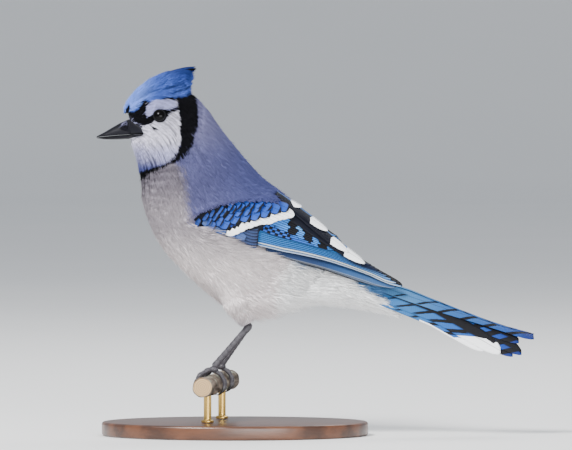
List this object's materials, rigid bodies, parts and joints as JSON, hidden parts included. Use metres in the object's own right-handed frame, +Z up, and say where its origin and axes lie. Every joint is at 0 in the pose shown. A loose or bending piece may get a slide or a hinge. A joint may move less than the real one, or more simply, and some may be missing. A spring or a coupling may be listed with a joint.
{
  "type": "blue jay model",
  "caption": "Still, life-size blue jay gripping a short cut branch on a plain display stand.",
  "frame": {"origin": "centre of the stand base's underside, on the floor", "axes": "+Z up, the bird faces -X, its left side is towards -Y"},
  "size_m": [0.2495, 0.112, 0.2108],
  "materials": {
    "face_feathers": "matte",
    "breast_feathers": "matte",
    "back_feathers": "matte",
    "wing_feathers": "satin",
    "tail_feathers": "satin",
    "bill_horn": "satin",
    "eye": "gloss",
    "leg_scale": "satin",
    "branch_bark": "matte",
    "stand_wood": "satin",
    "stand_brass": "satin"
  },
  "bodies": {
    "root": {"head": "face_feathers", "eye_left": "eye", "eye_right": "eye", "bill_upper": "bill_horn", "bill_lower": "bill_horn", "neck": "back_feathers", "torso": "breast_feathers", "vent": "breast_feathers", "tail": "tail_feathers", "wing_arm_left": "wing_feathers", "wing_arm_right": "wing_feathers", "wing_secondaries_left": "wing_feathers", "wing_secondaries_right": "wing_feathers", "wing_primaries_left": "wing_feathers", "wing_primaries_right": "wing_feathers", "thigh_left": "breast_feathers", "thigh_right": "breast_feathers", "tarsus_left": "leg_scale", "tarsus_right": "leg_scale", "foot_left": "leg_scale", "foot_right": "leg_scale", "claw_inner_left": "bill_horn", "claw_middle_left": "bill_horn", "claw_outer_left": "bill_horn", "claw_hind_left": "bill_horn", "claw_inner_right": "bill_horn", "claw_middle_right": "bill_horn", "claw_outer_right": "bill_horn", "claw_hind_right": "bill_horn", "perch": "branch_bark", "stand_base": "stand_wood", "stand_rod_near": "stand_brass", "stand_rod_far": "stand_brass"}
  },
  "joints": []
}
